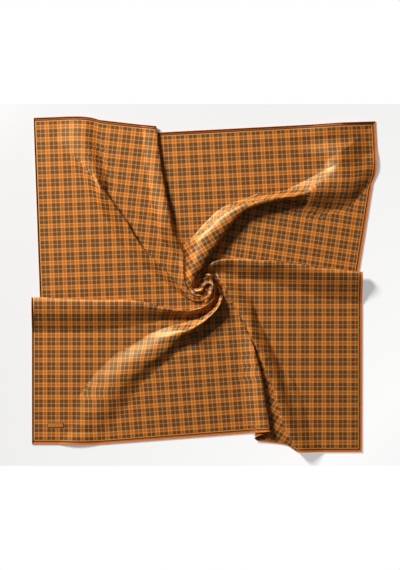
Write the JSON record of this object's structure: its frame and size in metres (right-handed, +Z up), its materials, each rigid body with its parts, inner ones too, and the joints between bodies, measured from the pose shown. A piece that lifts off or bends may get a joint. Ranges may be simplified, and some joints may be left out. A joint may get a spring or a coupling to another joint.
{
  "type": "silk scarf",
  "caption": "Square silk scarf laid open on a surface, its middle pinched and twisted into a rosette from which pleats and soft folds run to the four hems.",
  "frame": {"origin": "on the surface that the scarf lies on, under the middle of its outline", "axes": "+Z up; +Y towards the top hem and +X towards the right hem as seen from above, with the label at the lower left"},
  "size_m": [0.8484, 0.8253, 0.0299],
  "materials": {
    "silk": "printed silk twill with a soft sheen",
    "label": "woven satin ribbon"
  },
  "bodies": {
    "root": {"scarf": "silk", "corner_label": "label"}
  },
  "joints": []
}
